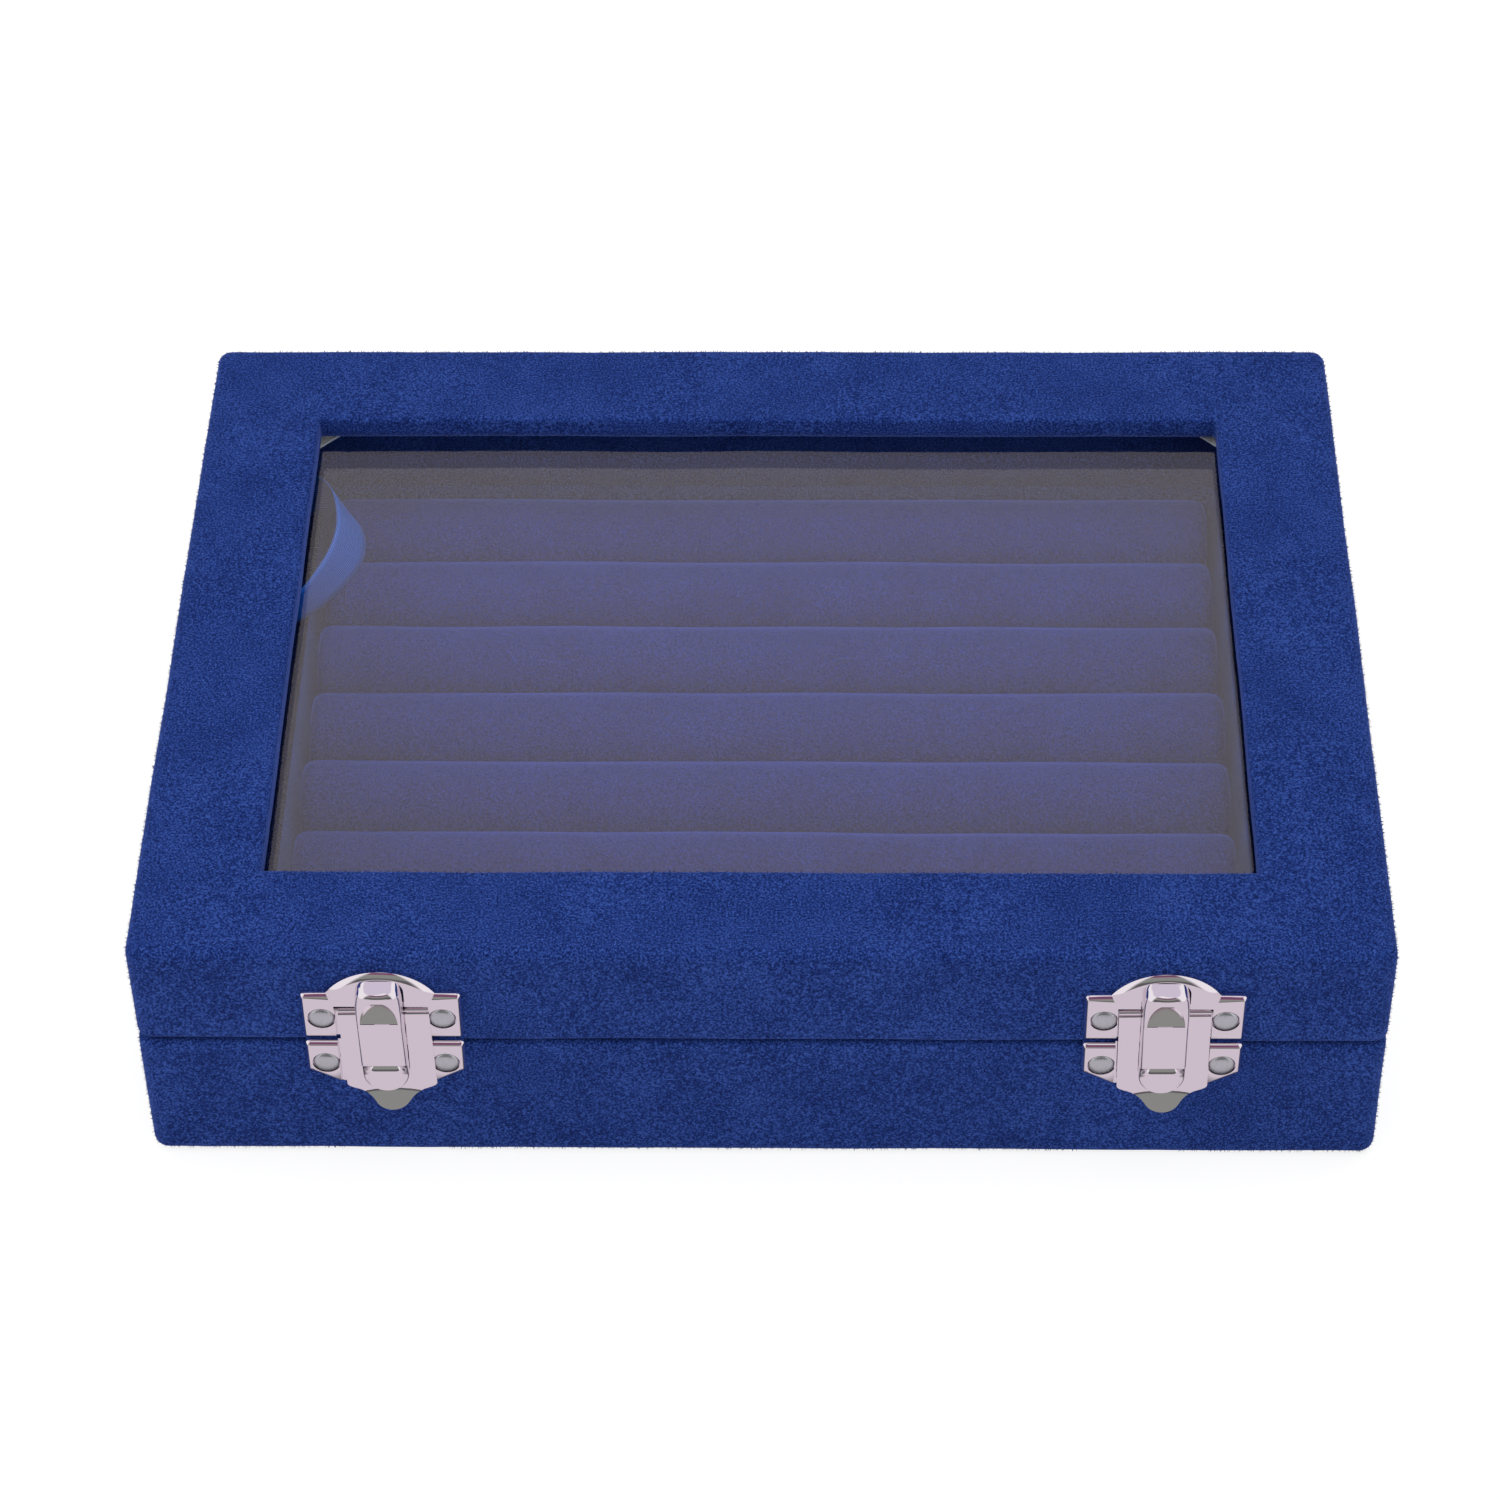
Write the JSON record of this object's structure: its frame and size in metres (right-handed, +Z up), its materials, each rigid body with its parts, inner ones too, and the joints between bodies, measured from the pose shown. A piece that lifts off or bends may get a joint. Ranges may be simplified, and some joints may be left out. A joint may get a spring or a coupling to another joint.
{
  "type": "ring display box",
  "caption": "Velvet covered display box for rings: glazed hinged lid, foam ring rolls in a tray, front duckbill latches and a ribbon lid stay.",
  "frame": {"origin": "centre of the underside of the box's velvet covered shell, on the plane that it rests on", "axes": "+X to the right along the long side, +Y to the hinged back, +Z up"},
  "size_m": [0.2, 0.1578, 0.048],
  "materials": {
    "velvet": "royal blue short pile velvet glued over board",
    "roll_velvet": "royal blue velvet over foam rolls",
    "card_board": "grey pulp board, matt",
    "bare_card": "white faced card, matt",
    "base_paper": "blue flocked paper sheet, matt",
    "glass": "clear float glass, polished",
    "ribbon": "semi sheer royal blue ribbon",
    "bright_nickel": "bright nickel plated steel stamping",
    "rivet_steel": "satin nickel plated rivet",
    "hinge_steel": "nickel plated steel, satin",
    "spring_steel": "plain bright steel wire"
  },
  "bodies": {
    "base": {"base_back_board": "card_board", "base_floor_board": "card_board", "base_front_board": "card_board", "base_left_board": "card_board", "base_right_board": "card_board", "base_velvet": "velvet", "bottom_sheet": "base_paper", "floor_lining": "velvet", "hinge_base_leaf_left": "hinge_steel", "hinge_base_leaf_right": "hinge_steel", "hinge_base_tacks": "hinge_steel", "hinge_pin_left": "hinge_steel", "hinge_pin_right": "hinge_steel", "lower_plate_left": "bright_nickel", "lower_plate_right": "bright_nickel", "lower_rivets_left": "rivet_steel", "lower_rivets_right": "rivet_steel", "ring_roll_1": "roll_velvet", "ring_roll_2": "roll_velvet", "ring_roll_3": "roll_velvet", "ring_roll_4": "roll_velvet", "ring_roll_5": "roll_velvet", "ring_roll_6": "roll_velvet", "ring_roll_7": "roll_velvet", "ring_tray": "velvet", "stay_ribbon": "ribbon", "stay_tack_base": "hinge_steel"},
    "lid": {"bill_pin_left": "spring_steel", "bill_pin_right": "spring_steel", "corner_card_left": "bare_card", "corner_card_right": "bare_card", "flap_pin_left": "spring_steel", "flap_pin_right": "spring_steel", "glass_pane": "glass", "glass_retainer": "velvet", "hinge_lid_leaf_left": "hinge_steel", "hinge_lid_leaf_right": "hinge_steel", "hinge_lid_tacks": "hinge_steel", "lid_back_board": "card_board", "lid_front_board": "card_board", "lid_left_board": "card_board", "lid_right_board": "card_board", "lid_top_board": "card_board", "lid_velvet": "velvet", "stay_tack_lid": "hinge_steel", "upper_plate_left": "bright_nickel", "upper_plate_right": "bright_nickel", "upper_rivets_left": "rivet_steel", "upper_rivets_right": "rivet_steel"},
    "flap_left": {"flap_left": "bright_nickel"},
    "bill_left": {"bill_left": "bright_nickel", "bill_spring_left": "spring_steel"},
    "flap_right": {"flap_right": "bright_nickel"},
    "bill_right": {"bill_right": "bright_nickel", "bill_spring_right": "spring_steel"}
  },
  "joints": [
    {"name": "lid_hinge", "type": "hinge", "parent": "base", "child": "lid", "pos_m": [0, 0.0767, 0.0273], "axis": [-1, 0, 0], "range_deg": [0, 100], "deforming": ["stay_ribbon"]},
    {"name": "flap_left_swing", "type": "hinge", "parent": "lid", "child": "flap_left", "pos_m": [-0.06, -0.0759, 0.036], "axis": [-1, 0, 0], "range_deg": [0, 80]},
    {"name": "bill_left_swing", "type": "hinge", "parent": "lid", "child": "bill_left", "pos_m": [-0.06, -0.078, 0.0405], "axis": [-1, 0, 0], "range_deg": [0, 88], "stiffness_Nm_per_rad": 0.0002, "springref_deg": -11.46},
    {"name": "flap_right_swing", "type": "hinge", "parent": "lid", "child": "flap_right", "pos_m": [0.064, -0.0759, 0.036], "axis": [-1, 0, 0], "range_deg": [0, 80]},
    {"name": "bill_right_swing", "type": "hinge", "parent": "lid", "child": "bill_right", "pos_m": [0.064, -0.078, 0.0405], "axis": [-1, 0, 0], "range_deg": [0, 88], "stiffness_Nm_per_rad": 0.0002, "springref_deg": -11.46}
  ],
  "couplings": [
    {"joint": "bill_left_swing", "follows": "flap_left_swing", "ratio": 1.1},
    {"joint": "bill_right_swing", "follows": "flap_right_swing", "ratio": 1.1}
  ]
}
